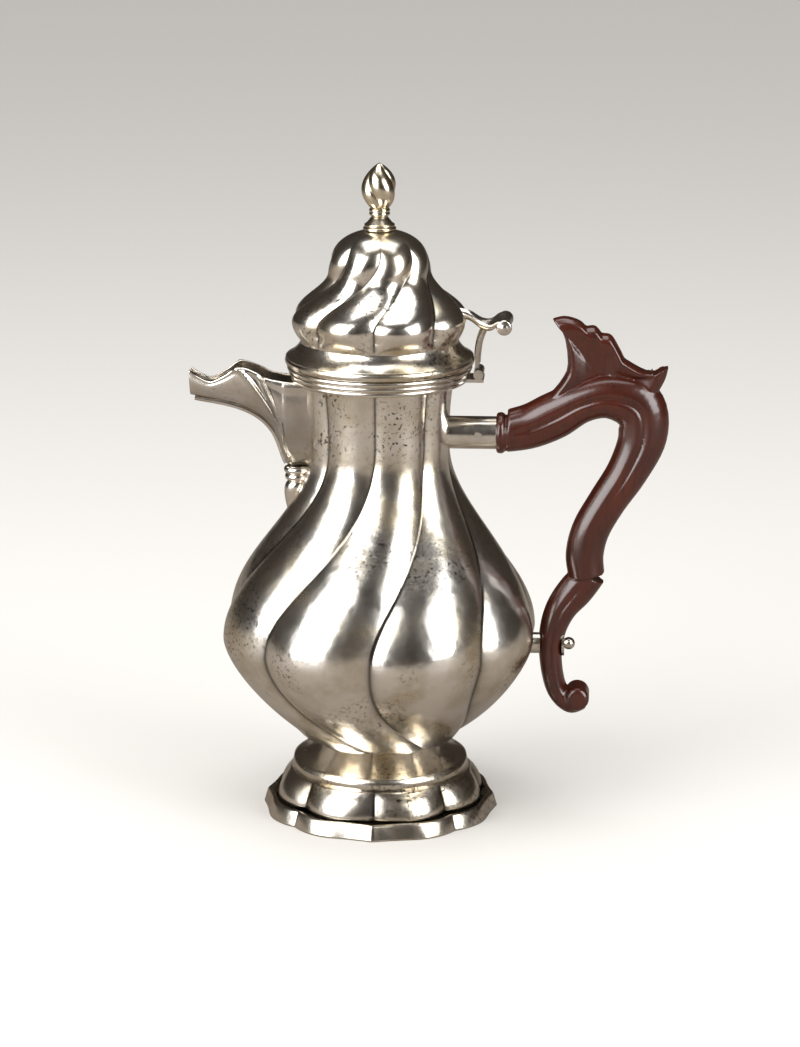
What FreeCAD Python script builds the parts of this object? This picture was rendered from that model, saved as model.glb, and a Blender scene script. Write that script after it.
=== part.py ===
import FreeCAD, Part
import math
import os

from FreeCAD import Vector

# Sizes in millimetres: +Z up, origin at the centre of the resting plane, spout to -X, handle to +X

# Silver sheet and the swirled lobes
SHEET = 1.2
LOBE_COUNT = 8
VESSEL_RELIEF = 0.07
LID_RELIEF = 0.085

# Vessel
VESSEL_BASE_Z = 29.0
VESSEL_BASE_RADIUS = 29.0
BELLY_Z = 70.0
BELLY_RADIUS = 61.3
BOWL_POWER = 1.5
NECK_Z = 142.0
NECK_RADIUS = 27.0
MOUTH_Z = 174.3
MOUTH_RADIUS = 29.0
SWIRL_TOP_Z = 148.0
SWIRL_ANGLE = 45.0
FOOT_SWIRL_ANGLE = 40.0
VESSEL_SECTIONS = 18
STRAINER_HOLE_RADIUS = 1.3
STRAINER_PITCH = 5.0

# Reeded mouth moulding
MOULDING_HEIGHT = 6.0
MOULDING_RADIUS = 34.8
SOLDER_GAP = 0.15
REED_STEP = 0.7

# Foot
PLINTH_HEIGHT = 6.0
PLINTH_WALL = 2.2
PLINTH_LEDGE = 1.4
PLINTH_HOLE_RADIUS = 36.0
PLINTH_CUSP_RADIUS = 45.2
PLINTH_DIP_RADIUS = 43.8
PLINTH_HUMP_RADIUS = 45.0
PLINTH_NOTCH_RADIUS = 43.0
PLINTH_LEAN = 1.9
APRON_TOP_Z = 16.0
APRON_TOP_RADIUS = 34.2
APRON_RADIUS = 39.6
APRON_CREASE = 1.6
BAND_HEIGHT = 4.4
BAND_LEAN = 1.0
FOOT_NECK_RADIUS = 20.5

# Lid
LID_GAP = 0.3
RIM_RADIUS = 35.6
RIM_HEIGHT = 3.0
RIM_DEPTH = 2.0
WAIST_RADIUS = 29.5
WAIST_RISE = 8.9
BULGE_RADIUS = 33.7
BULGE_RISE = 8.0
CROWN_RADIUS = 19.4
CROWN_RISE = 18.0
CAP_RADIUS = 18.0
CAP_RISE = 8.5
CAP_HEIGHT = 7.3
LID_SWIRL_ANGLE = 50.0
BEZEL_CLEARANCE = 0.6
BEZEL_DEPTH = 4.2

# Finial
FINIAL_BASE_RADIUS = 6.2
FINIAL_BASE_HEIGHT = 2.6
STEM_RADIUS = 3.4
STEM_BEAD_RADIUS = 3.9
STEM_HEIGHT = 5.8
BUD_RADIUS = 6.75
BUD_HEIGHT = 16.8
BUD_FOOT_RADIUS = 3.5
BUD_PETALS = 5
BUD_RELIEF = 0.1
BUD_SWIRL_ANGLE = 95.0
BOLT_RADIUS = 1.2
BOLT_CLEARANCE = 0.1
FINIAL_NUT_RADIUS = 3.4
FINIAL_NUT_HEIGHT = 2.0

# Hinge and thumbpiece
HINGE_REACH = 2.5
HINGE_DROP = 2.8
KNUCKLE_RADIUS = 1.9
PIN_RADIUS = 0.8
PIN_CLEARANCE = 0.05
LID_KNUCKLE_WIDTH = 6.0
FIXED_KNUCKLE_WIDTH = 2.6
KNUCKLE_GAP = 0.2
STRUT_THICKNESS = 1.5
ARM_THICKNESS = 1.3
ROLL_RADIUS = 2.9
ROLL_WIDTH = 20.0
ROLL_REACH = 9.6
ROLL_RISE = 18.8

# Spout
SPOUT_WALL = 1.1
SPOUT_REACH = 71.8
SPOUT_TIP_WIDTH = 7.2
SPOUT_ROOT_WIDTH = 18.0
SPOUT_TIP_RISE = 3.2
SPOUT_CREST_RISE = 5.3
SPOUT_FOOT_Z = 134.4
RIB_RADIUS = 1.0
COLLAR_RADIUS = 5.2
COLLAR_REACH = 4.3
COLLAR_HEIGHT = 5.4
DROP_LENGTH = 12.2
DROP_RADIUS = 4.2

# Handle fixings
SOCKET_Z = 148.2
SOCKET_RADIUS = 6.2
SOCKET_LENGTH = 17.0
TENON_CLEARANCE = 0.1
TENON_LENGTH = 14.0
RIVET_RADIUS = 0.9
RIVET_HEAD_RADIUS = 1.5
STUD_Z = 66.0
STUD_RADIUS = 1.5
STUD_CLEARANCE = 0.1
SEAT_RADIUS = 4.0
SEAT_STANDOFF = 0.0
WASHER_RADIUS = 4.8
WASHER_THICKNESS = 0.9
NUT_RADIUS = 2.4

# Wood handle
RING_RADIUS = 7.9
RING_LENGTH = 3.2
HANDLE_WIDTH = 15.0
SCROLL_WIDTH = 12.0
SCROLL_THICKNESS = 8.3
CREST_WIDTH = 10.0
BALL_RADIUS = 4.7

MOULDING_BOTTOM_Z = MOUTH_Z - MOULDING_HEIGHT
LID_Z = MOUTH_Z + LID_GAP
WAIST_Z = LID_Z + WAIST_RISE
BULGE_Z = WAIST_Z + BULGE_RISE
CROWN_Z = BULGE_Z + CROWN_RISE
CAP_Z = CROWN_Z + CAP_RISE
LID_TOP_Z = CAP_Z + CAP_HEIGHT * 0.96
CAP_JOIN_Z = CAP_Z + CAP_HEIGHT * 0.4
HINGE_X = MOULDING_RADIUS + HINGE_REACH
HINGE_Z = MOUTH_Z - HINGE_DROP
SOCKET_END_X = NECK_RADIUS + SOCKET_LENGTH
SEAT_X = BELLY_RADIUS + SEAT_STANDOFF


# Shared outlines

def polar(radius, angle, z):
    turn = math.radians(angle)
    return Vector(radius * math.cos(turn), radius * math.sin(turn), z)


def lobed_wire(z, crest, depth, turn, count):
    pitch = 360.0 / count
    edges = []
    for lobe in range(count):
        start = polar(crest - depth, turn + lobe * pitch, z)
        middle = polar(crest, turn + (lobe + 0.5) * pitch, z)
        end = polar(crest - depth, turn + (lobe + 1) * pitch, z)
        edges.append(Part.Arc(start, middle, end).toShape())
    return Part.Wire(edges)


def curve(points):
    line = Part.BSplineCurve()
    line.interpolate(points)
    return line.toShape()


def flat(points):
    return [Vector(x, 0, z) for x, z in points]


def solid_loft(wires, ruled):
    solid = Part.makeLoft(wires, True, ruled)
    if solid.Volume < 0:
        solid.reverse()
    return solid


def revolved(edges):
    face = Part.Face(Part.Wire(edges))
    return face.revolve(Vector(0, 0, 0), Vector(0, 0, 1), 360)


def ring(inner, outer, low, high):
    tube = Part.makeCylinder(outer, high - low, Vector(0, 0, low))
    return tube.cut(Part.makeCylinder(inner, high - low, Vector(0, 0, low)))


# Vessel

def vessel_radius(z):
    if z <= BELLY_Z:
        drop = (BELLY_Z - z) / (BELLY_Z - VESSEL_BASE_Z)
        return BELLY_RADIUS - (BELLY_RADIUS - VESSEL_BASE_RADIUS) * drop ** BOWL_POWER
    if z <= NECK_Z:
        rise = (z - BELLY_Z) / (NECK_Z - BELLY_Z)
        return NECK_RADIUS + (BELLY_RADIUS - NECK_RADIUS) * (1 + math.cos(math.pi * rise)) / 2
    flare = min(1.0, (z - NECK_Z) / (MOULDING_BOTTOM_Z - NECK_Z))
    return NECK_RADIUS + (MOUTH_RADIUS - NECK_RADIUS) * flare ** 3


def vessel_turn(z):
    if z >= SWIRL_TOP_Z:
        return 0.0
    if z >= BELLY_Z:
        share = (SWIRL_TOP_Z - z) / (SWIRL_TOP_Z - BELLY_Z)
        return -SWIRL_ANGLE * (1 - math.cos(math.pi * share)) / 2
    drop = (BELLY_Z - z) / (BELLY_Z - VESSEL_BASE_Z)
    return FOOT_SWIRL_ANGLE * drop ** 3 - SWIRL_ANGLE


def vessel_loft(wall, base):
    low = VESSEL_BASE_Z + base
    top = MOULDING_BOTTOM_Z - 1.5
    heights = [low + (top - low) * step / VESSEL_SECTIONS for step in range(VESSEL_SECTIONS + 1)]
    wires = []
    for z in heights:
        slope = (vessel_radius(z + 0.05) - vessel_radius(z - 0.05)) / 0.1 if z > low else 0.9
        crest = vessel_radius(z) - wall * math.sqrt(1 + slope * slope)
        wires.append(lobed_wire(z, crest, VESSEL_RELIEF * vessel_radius(z), vessel_turn(z), LOBE_COUNT))
    round_z = MOULDING_BOTTOM_Z + SHEET
    for step in range(5):
        z = round_z + (MOUTH_Z - round_z) * step / 4
        wires.append(lobed_wire(z, MOUTH_RADIUS - wall, 0.0, 0.0, LOBE_COUNT))
    return solid_loft(wires, False)


def body_shell(outside):
    shell = outside.cut(vessel_loft(SHEET, SHEET))
    for row in range(4):
        z = NECK_Z + row * STRAINER_PITCH + 3.0
        for column in (-1, 0, 1):
            y = column * STRAINER_PITCH
            start = Vector(-8.0, y, z)
            hole = Part.makeCylinder(STRAINER_HOLE_RADIUS, NECK_RADIUS, start, Vector(-1, 0, 0))
            shell = shell.cut(hole)
    return shell


def mouth_moulding():
    reed = MOULDING_HEIGHT / 3
    inner = MOUTH_RADIUS + SOLDER_GAP
    edges = []
    start = Vector(inner, 0, MOUTH_Z)
    for index in range(3):
        root = MOULDING_RADIUS - reed / 2 - index * REED_STEP
        high = MOUTH_Z - index * reed
        first = Vector(root, 0, high)
        edges.append(Part.makeLine(start, first))
        middle = Vector(root + reed / 2, 0, high - reed / 2)
        start = Vector(root, 0, high - reed)
        edges.append(Part.Arc(first, middle, start).toShape())
    corner = Vector(inner, 0, MOULDING_BOTTOM_Z)
    edges.append(Part.makeLine(start, corner))
    edges.append(Part.makeLine(corner, Vector(inner, 0, MOUTH_Z)))
    return revolved(edges)


# Foot

def bracket_wire(z, cusp, dip, hump, notch):
    half = [(0, cusp), (12, dip), (28, hump), (40, (hump + notch) / 2), (45, notch)]
    edges = []
    for quarter in range(4):
        turn = quarter * 90.0
        edges.append(curve([polar(radius, turn + angle, z) for angle, radius in half]))
        edges.append(curve([polar(radius, turn + 90 - angle, z) for angle, radius in reversed(half)]))
    return Part.Wire(edges)


def foot_plinth():
    sizes = (PLINTH_CUSP_RADIUS, PLINTH_DIP_RADIUS, PLINTH_HUMP_RADIUS, PLINTH_NOTCH_RADIUS)
    low = bracket_wire(0, *sizes)
    top_sizes = (sizes[0] - 0.2, sizes[1] - PLINTH_LEAN, sizes[2] - PLINTH_LEAN, sizes[3] - PLINTH_LEAN)
    high = bracket_wire(PLINTH_HEIGHT, *top_sizes)
    block = solid_loft([low, high], True)
    inner = [size - PLINTH_LEAN - PLINTH_WALL for size in sizes]
    hollow_low = bracket_wire(0, *inner)
    hollow_high = bracket_wire(PLINTH_HEIGHT - PLINTH_LEDGE, *inner)
    block = block.cut(solid_loft([hollow_low, hollow_high], True))
    return block.cut(Part.makeCylinder(PLINTH_HOLE_RADIUS, PLINTH_HEIGHT))


def apron_loft(wall):
    span = APRON_TOP_Z - PLINTH_HEIGHT
    wires = []
    for share in (0.0, 0.25, 0.5, 0.75, 1.0):
        bulge = 1 - share ** 2
        radius = APRON_TOP_RADIUS + (APRON_RADIUS - APRON_TOP_RADIUS) * bulge - wall
        crease = APRON_CREASE * (1 - share ** 4)
        z = PLINTH_HEIGHT + span * share
        wires.append(bracket_wire(z, radius + crease * 0.2, radius + crease * 0.3, radius + crease * 0.4,
                                  radius - crease))
    return solid_loft(wires, False)


def foot_apron():
    return apron_loft(0).cut(apron_loft(SHEET))


def foot_dome():
    band_top = APRON_TOP_Z + BAND_HEIGHT
    band_radius = APRON_TOP_RADIUS - BAND_LEAN
    rise = VESSEL_BASE_Z - band_top
    run = band_radius - FOOT_NECK_RADIUS
    outer = flat([(APRON_TOP_RADIUS, APRON_TOP_Z), (band_radius, band_top),
                  (FOOT_NECK_RADIUS + run * 0.33, band_top + rise * 0.5), (FOOT_NECK_RADIUS, VESSEL_BASE_Z)])
    inner = flat([(APRON_TOP_RADIUS - SHEET, APRON_TOP_Z), (band_radius - SHEET, band_top - SHEET),
                  (FOOT_NECK_RADIUS + run * 0.33 - SHEET, band_top + rise * 0.5 - SHEET),
                  (FOOT_NECK_RADIUS - SHEET * 2, VESSEL_BASE_Z)])
    edges = [
        Part.makeLine(outer[0], outer[1]),
        Part.Arc(outer[1], outer[2], outer[3]).toShape(),
        Part.makeLine(outer[3], inner[3]),
        Part.Arc(inner[3], inner[2], inner[1]).toShape(),
        Part.makeLine(inner[1], inner[0]),
        Part.makeLine(inner[0], outer[0]),
    ]
    return revolved(edges)


# Spout

def spout_station(x, low, high, width, wall):
    half = width / 2 - wall
    foot = low + wall * 1.4
    lip = high + wall * 3
    rise = lip - foot
    side = [(half, lip), (half * 0.98, foot + rise * 0.62), (half * 0.62, foot + rise * 0.2), (0, foot)]
    right = curve([Vector(x, y, z) for y, z in side])
    left = curve([Vector(x, -y, z) for y, z in reversed(side)])
    lid = Part.makeLine(Vector(x, -half, lip), Vector(x, half, lip))
    return Part.Wire([right, left, lid])


def spout_loft(wall, tip_extra):
    top = MOULDING_BOTTOM_Z
    tip = -SPOUT_REACH
    root = -NECK_RADIUS
    span = tip - root
    step = (SPOUT_ROOT_WIDTH - SPOUT_TIP_WIDTH)
    stations = [
        (root + 3.0, SPOUT_FOOT_Z, top, 0.0),
        (root + span * 0.16, SPOUT_FOOT_Z, top, 0.06),
        (root + span * 0.21, SPOUT_FOOT_Z + 4.0, top + 0.1, 0.10),
        (root + span * 0.27, SPOUT_FOOT_Z + 11.5, top + 0.5, 0.14),
        (root + span * 0.34, SPOUT_FOOT_Z + 16.4, top + 1.3, 0.20),
        (root + span * 0.44, SPOUT_FOOT_Z + 20.0, top + 3.6, 0.28),
        (root + span * 0.58, SPOUT_FOOT_Z + 23.1, top + SPOUT_CREST_RISE, 0.42),
        (root + span * 0.70, SPOUT_FOOT_Z + 24.6, top + 1.8, 0.58),
        (root + span * 0.82, SPOUT_FOOT_Z + 25.6, top - 0.7, 0.74),
        (root + span * 0.92, SPOUT_FOOT_Z + 26.3, top + 0.8, 0.90),
        (tip, SPOUT_FOOT_Z + 27.0, top + SPOUT_TIP_RISE, 1.0),
    ]
    wires = []
    for x, low, high, share in stations:
        wires.append(spout_station(x, low, high, SPOUT_ROOT_WIDTH - step * share, wall))
    if tip_extra:
        x, low, high, share = stations[-1]
        wires.append(spout_station(x - 2.0, low, high + 1.0, SPOUT_TIP_WIDTH, wall))
    return solid_loft(wires, True)


def spout_shell(outside):
    trough = spout_loft(0, False).cut(spout_loft(SPOUT_WALL, True))
    return trough.cut(outside)


def rib_point(share):
    span = -SPOUT_REACH + NECK_RADIUS
    keel = [(0.19, 1.8), (0.24, 7.8), (0.30, 13.9), (0.38, 18.1), (0.50, 21.6),
            (0.64, 23.9), (0.80, 25.4), (0.96, 26.6)]
    x, rise = keel[share]
    return Vector(-NECK_RADIUS + span * x, 0, SPOUT_FOOT_Z + rise - RIB_RADIUS * 0.8)


def spout_rib(spout):
    points = [rib_point(index) for index in range(8)]
    wires = []
    for index, point in enumerate(points):
        before = points[max(0, index - 1)]
        after = points[min(7, index + 1)]
        axis = after.sub(before)
        wires.append(Part.Wire([Part.makeCircle(RIB_RADIUS, point, axis)]))
    return solid_loft(wires, False).cut(spout)


def spout_collar(outside):
    x = -NECK_RADIUS - COLLAR_REACH
    half = COLLAR_HEIGHT / 2
    low = SPOUT_FOOT_Z - COLLAR_HEIGHT
    core = Part.makeCylinder(COLLAR_RADIUS - 1.4, COLLAR_HEIGHT, Vector(x, 0, low))
    upper = Part.makeTorus(COLLAR_RADIUS - 1.3, 1.3, Vector(x, 0, low + half + 1.35))
    lower = Part.makeTorus(COLLAR_RADIUS - 1.7, 1.3, Vector(x, 0, low + half - 1.35))
    return core.fuse([upper, lower]).cut(outside).removeSplitter()


def spout_drop(outside):
    x = -NECK_RADIUS - COLLAR_REACH
    top = SPOUT_FOOT_Z - COLLAR_HEIGHT
    wires = []
    for share, radius in ((0.0, 0.72), (0.15, 1.0), (0.4, 0.92), (0.7, 0.6), (1.0, 0.16)):
        centre = Vector(x - 3.0 * share, 0, top - DROP_LENGTH * share)
        wires.append(Part.Wire([Part.makeCircle(DROP_RADIUS * radius, centre)]))
    return solid_loft(wires, False).cut(outside)


# Lid

def lid_radius(z):
    if z <= BULGE_Z:
        rise = math.sin(math.pi / 2 * (z - WAIST_Z) / BULGE_RISE)
        return WAIST_RADIUS + (BULGE_RADIUS - WAIST_RADIUS) * rise
    if z <= CROWN_Z:
        rise = (z - BULGE_Z) / CROWN_RISE
        return CROWN_RADIUS + (BULGE_RADIUS - CROWN_RADIUS) * (1 + math.cos(math.pi * rise)) / 2
    if z <= CAP_Z:
        return CROWN_RADIUS + (CAP_RADIUS - CROWN_RADIUS) * (z - CROWN_Z) / CAP_RISE
    return CAP_RADIUS * math.sqrt(max(0.0, 1 - ((z - CAP_Z) / CAP_HEIGHT) ** 2))


def lid_turn(z):
    share = (z - BULGE_Z) / (CAP_Z - BULGE_Z)
    share = min(1.0, max(0.0, share))
    return LID_SWIRL_ANGLE * (1 - math.cos(math.pi * share)) / 2


def lid_loft(wall):
    span = CAP_Z - WAIST_Z
    wires = []
    for share in (0.0, 0.06, 0.14, 0.23, 0.32, 0.41, 0.5, 0.6, 0.7, 0.8, 0.9, 1.0):
        z = WAIST_Z + span * share
        fade = min(1.0, share / 0.14)
        crest = lid_radius(z) - wall
        wires.append(lobed_wire(z, crest, LID_RELIEF * lid_radius(z) * fade, lid_turn(z), LOBE_COUNT))
    wires.append(lobed_wire(CAP_JOIN_Z, lid_radius(CAP_JOIN_Z) - wall, 0.0, LID_SWIRL_ANGLE, LOBE_COUNT))
    return solid_loft(wires, False)


def lid_cap():
    bolt_hole = BOLT_RADIUS + BOLT_CLEARANCE
    middle_z = (CAP_JOIN_Z + LID_TOP_Z) / 2
    join = lid_radius(CAP_JOIN_Z)
    middle = lid_radius(middle_z)
    crown = lid_radius(LID_TOP_Z)
    outer = flat([(join, CAP_JOIN_Z), (middle, middle_z), (crown, LID_TOP_Z), (bolt_hole, LID_TOP_Z)])
    inner = flat([(join - SHEET, CAP_JOIN_Z), (middle - SHEET * 0.7, middle_z - SHEET * 0.7),
                  (crown, LID_TOP_Z - SHEET), (bolt_hole, LID_TOP_Z - SHEET)])
    edges = [
        Part.Arc(outer[0], outer[1], outer[2]).toShape(),
        Part.makeLine(outer[2], outer[3]),
        Part.makeLine(outer[3], inner[3]),
        Part.makeLine(inner[3], inner[2]),
        Part.Arc(inner[2], inner[1], inner[0]).toShape(),
        Part.makeLine(inner[0], outer[0]),
    ]
    return revolved(edges)


def lid_flange():
    top = LID_Z + RIM_HEIGHT
    rise = WAIST_Z - top
    root = RIM_RADIUS - RIM_DEPTH
    edge = RIM_RADIUS - 0.3
    hollow = WAIST_RADIUS + (edge - WAIST_RADIUS) * 0.36
    outer = flat([(WAIST_RADIUS, WAIST_Z), (hollow, top + rise * 0.46), (edge, top)])
    inner = flat([(WAIST_RADIUS - SHEET, WAIST_Z),
                  (WAIST_RADIUS - SHEET + (root - WAIST_RADIUS + SHEET) * 0.38, top + rise * 0.42),
                  (root, top)])
    edges = [
        Part.Arc(outer[0], outer[1], outer[2]).toShape(),
        Part.makeLine(outer[2], inner[2]),
        Part.Arc(inner[2], inner[1], inner[0]).toShape(),
        Part.makeLine(inner[0], outer[0]),
    ]
    return revolved(edges)


def lid_dome(outside):
    return outside.cut(lid_loft(SHEET))


def lid_rim_wire():
    root = RIM_RADIUS - RIM_DEPTH
    top = LID_Z + RIM_HEIGHT
    shoulder = RIM_RADIUS - RIM_HEIGHT / 4
    middle = LID_Z + RIM_HEIGHT / 2
    points = flat([(root, LID_Z), (shoulder, LID_Z), (RIM_RADIUS, middle), (shoulder, top), (root, top)])
    edges = [
        Part.makeLine(points[0], points[1]),
        Part.Arc(points[1], points[2], points[3]).toShape(),
        Part.makeLine(points[3], points[4]),
        Part.makeLine(points[4], points[0]),
    ]
    return revolved(edges)


def lid_bezel():
    outer = MOUTH_RADIUS - SHEET - BEZEL_CLEARANCE
    collar = ring(outer - SHEET, outer, LID_Z - BEZEL_DEPTH, LID_Z + SHEET)
    plate = ring(outer - SHEET, RIM_RADIUS - RIM_DEPTH, LID_Z, LID_Z + SHEET)
    return collar.fuse(plate).removeSplitter()


# Finial

def finial_base():
    low = LID_TOP_Z
    half = FINIAL_BASE_HEIGHT / 2
    upper = FINIAL_BASE_RADIUS - 0.5
    lower_ring = Part.makeCylinder(FINIAL_BASE_RADIUS - half / 2, half, Vector(0, 0, low))
    lower_edge = Part.makeTorus(FINIAL_BASE_RADIUS - half / 2, half / 2, Vector(0, 0, low + half / 2))
    upper_ring = Part.makeCylinder(upper - half / 2, half, Vector(0, 0, low + half))
    upper_edge = Part.makeTorus(upper - half / 2, half / 2, Vector(0, 0, low + half * 1.5))
    step = lower_ring.fuse([lower_edge, upper_ring, upper_edge])
    hole = Part.makeCylinder(BOLT_RADIUS + BOLT_CLEARANCE, FINIAL_BASE_HEIGHT, Vector(0, 0, low))
    return step.cut(hole).removeSplitter()


def finial_stem():
    low = LID_TOP_Z + FINIAL_BASE_HEIGHT
    core = Part.makeCylinder(STEM_RADIUS - 0.5, STEM_HEIGHT, Vector(0, 0, low))
    flare = Part.makeCone(FINIAL_BASE_RADIUS - 1.2, STEM_RADIUS - 0.5, STEM_HEIGHT * 0.45, Vector(0, 0, low))
    lower_bead = Part.makeTorus(STEM_BEAD_RADIUS - 0.8, 0.8, Vector(0, 0, low + STEM_HEIGHT * 0.62))
    upper_bead = Part.makeTorus(STEM_BEAD_RADIUS - 0.8, 0.8, Vector(0, 0, low + STEM_HEIGHT * 0.86 - 0.1))
    stem = core.fuse([flare, lower_bead, upper_bead])
    hole = Part.makeCylinder(BOLT_RADIUS + BOLT_CLEARANCE, STEM_HEIGHT, Vector(0, 0, low))
    return stem.cut(hole).removeSplitter()


def finial_bud():
    low = LID_TOP_Z + FINIAL_BASE_HEIGHT + STEM_HEIGHT
    waist = 0.42
    wires = []
    for share in (0.0, 0.08, 0.18, 0.3, 0.42, 0.56, 0.7, 0.82, 0.92, 0.98, 1.0):
        if share < waist:
            swell = math.sin(math.pi / 2 * share / waist) ** 0.8
            radius = BUD_FOOT_RADIUS + (BUD_RADIUS - BUD_FOOT_RADIUS) * swell
        else:
            radius = BUD_RADIUS * max(0.01, 1 - ((share - waist) / (1 - waist)) ** 2) ** 0.83
        radius = max(0.6, radius)
        turn = BUD_SWIRL_ANGLE * max(0.0, 1 - share / 0.62) ** 2
        wires.append(lobed_wire(low + BUD_HEIGHT * share, radius, radius * BUD_RELIEF, turn, BUD_PETALS))
    bud = solid_loft(wires, False)
    return bud.cut(Part.makeCylinder(BOLT_RADIUS + BOLT_CLEARANCE, BUD_HEIGHT * 0.35, Vector(0, 0, low)))


def finial_bolt():
    low = LID_TOP_Z - SHEET - FINIAL_NUT_HEIGHT - 1.0
    high = LID_TOP_Z + FINIAL_BASE_HEIGHT + STEM_HEIGHT + BUD_HEIGHT * 0.35
    return Part.makeCylinder(BOLT_RADIUS, high - low, Vector(0, 0, low))


def finial_nut():
    top = LID_TOP_Z - SHEET
    disc = Part.makeCylinder(FINIAL_NUT_RADIUS, FINIAL_NUT_HEIGHT, Vector(0, 0, top - FINIAL_NUT_HEIGHT))
    return disc.cut(Part.makeCylinder(BOLT_RADIUS + BOLT_CLEARANCE, 20, Vector(0, 0, top - 10)))


# Hinge and thumbpiece

def along_y(radius, width, x, z, centre):
    return Part.makeCylinder(radius, width, Vector(x, centre - width / 2, z), Vector(0, 1, 0))


def hinge_bracket(moulding):
    offset = LID_KNUCKLE_WIDTH / 2 + KNUCKLE_GAP + FIXED_KNUCKLE_WIDTH / 2
    width = 2 * offset + FIXED_KNUCKLE_WIDTH
    low = HINGE_Z - KNUCKLE_RADIUS - 1.0
    root = MOULDING_RADIUS - 3.5
    plate = Part.makeBox(HINGE_X + KNUCKLE_RADIUS - root, width, 1.2, Vector(root, -width / 2, low))
    knuckles = []
    for side in (-1, 1):
        knuckle = along_y(KNUCKLE_RADIUS, FIXED_KNUCKLE_WIDTH, HINGE_X, HINGE_Z, side * offset)
        web = Part.makeBox(2.4, FIXED_KNUCKLE_WIDTH, HINGE_Z - low,
                           Vector(HINGE_X - 1.2, side * offset - FIXED_KNUCKLE_WIDTH / 2, low))
        knuckles.extend([knuckle, web])
    leaf = plate.fuse(knuckles).cut(moulding)
    bore = along_y(PIN_RADIUS, 2 * width, HINGE_X, HINGE_Z, 0)
    clear = along_y(KNUCKLE_RADIUS + 0.4, LID_KNUCKLE_WIDTH + 2 * KNUCKLE_GAP, HINGE_X, HINGE_Z, 0)
    return leaf.cut(bore).cut(clear).removeSplitter()


def hinge_pin():
    width = LID_KNUCKLE_WIDTH + 2 * KNUCKLE_GAP + 2 * FIXED_KNUCKLE_WIDTH
    return along_y(PIN_RADIUS, width, HINGE_X, HINGE_Z, 0)


def ribbon(points, thickness, width):
    upper = curve([Vector(x, -width / 2, z + thickness / 2) for x, z in points])
    lower = curve([Vector(x, -width / 2, z - thickness / 2) for x, z in reversed(points)])
    start = Part.makeLine(lower.Vertexes[-1].Point, upper.Vertexes[0].Point)
    end = Part.makeLine(upper.Vertexes[-1].Point, lower.Vertexes[0].Point)
    return Part.Face(Part.Wire([upper, end, lower, start])).extrude(Vector(0, width, 0))


def thumbpiece(lid_outside):
    roll_x = HINGE_X + ROLL_REACH
    roll_z = HINGE_Z + ROLL_RISE
    foot_x = WAIST_RADIUS
    foot_z = BULGE_Z + 1.6
    dip_x = HINGE_X + 2.0
    points = [(foot_x, foot_z + 0.6), (BULGE_RADIUS + 0.8, foot_z - 0.6), (dip_x, roll_z - 1.6),
              (roll_x, roll_z + ROLL_RADIUS - 0.7)]
    arm = ribbon(points, ARM_THICKNESS, ROLL_WIDTH)
    half = ROLL_WIDTH / 2
    plan = [Vector(foot_x, -2, 0), Vector(roll_x - 1, -half, 0), Vector(roll_x + 9, -half, 0),
            Vector(roll_x + 9, half, 0), Vector(roll_x - 1, half, 0), Vector(foot_x, 2, 0)]
    fan = Part.Face(Part.makePolygon(plan + plan[:1])).extrude(Vector(0, 0, 400))
    roll = along_y(ROLL_RADIUS, ROLL_WIDTH, roll_x, roll_z, 0)
    for side in (-1, 1):
        roll = roll.cut(along_y(ROLL_RADIUS - 0.7, 1.2, roll_x, roll_z, side * half))
    return arm.common(fan).fuse(roll).cut(lid_outside).removeSplitter()


def lid_strut(arm):
    top = HINGE_Z + ROLL_RISE - 2.0
    width = LID_KNUCKLE_WIDTH
    half = STRUT_THICKNESS / 2
    middle = (HINGE_Z + top) / 2
    points = [(HINGE_X - 0.3, HINGE_Z), (HINGE_X - 0.5, middle), (HINGE_X + 2.0, top + 0.4)]
    left = curve([Vector(x - half, -width / 2, z) for x, z in points])
    right = curve([Vector(x + half, -width / 2, z) for x, z in reversed(points)])
    cap = Part.makeLine(left.Vertexes[-1].Point, right.Vertexes[0].Point)
    base = Part.makeLine(right.Vertexes[-1].Point, left.Vertexes[0].Point)
    strap = Part.Face(Part.Wire([left, cap, right, base])).extrude(Vector(0, width, 0))
    knuckle = along_y(KNUCKLE_RADIUS, width, HINGE_X, HINGE_Z, 0)
    bore = along_y(PIN_RADIUS + PIN_CLEARANCE, 2 * width, HINGE_X, HINGE_Z, 0)
    return strap.fuse(knuckle).cut(bore).cut(arm).removeSplitter()


# Handle

def handle_socket(outside):
    start = NECK_RADIUS - 6.0
    length = SOCKET_END_X - start
    tube = Part.makeCylinder(SOCKET_RADIUS, length, Vector(start, 0, SOCKET_Z), Vector(1, 0, 0))
    bore = Part.makeCylinder(SOCKET_RADIUS - SHEET, length, Vector(start, 0, SOCKET_Z), Vector(1, 0, 0))
    rivet_hole = along_y(RIVET_RADIUS, 4 * SOCKET_RADIUS, SOCKET_END_X - 6.6, SOCKET_Z, 0)
    return tube.cut(bore).cut(outside).cut(rivet_hole)


def socket_rivet(socket):
    x = SOCKET_END_X - 6.6
    shank = along_y(RIVET_RADIUS, 2 * SOCKET_RADIUS, x, SOCKET_Z, 0)
    heads = []
    for side in (-1, 1):
        heads.append(along_y(RIVET_HEAD_RADIUS, 1.0, x, SOCKET_Z, side * (SOCKET_RADIUS + 0.1)))
    start = Vector(SOCKET_END_X - SOCKET_LENGTH, 0, SOCKET_Z)
    tube = Part.makeCylinder(SOCKET_RADIUS, SOCKET_LENGTH, start, Vector(1, 0, 0))
    heads = [head.cut(tube) for head in heads]
    return shank.fuse(heads).removeSplitter()


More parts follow.
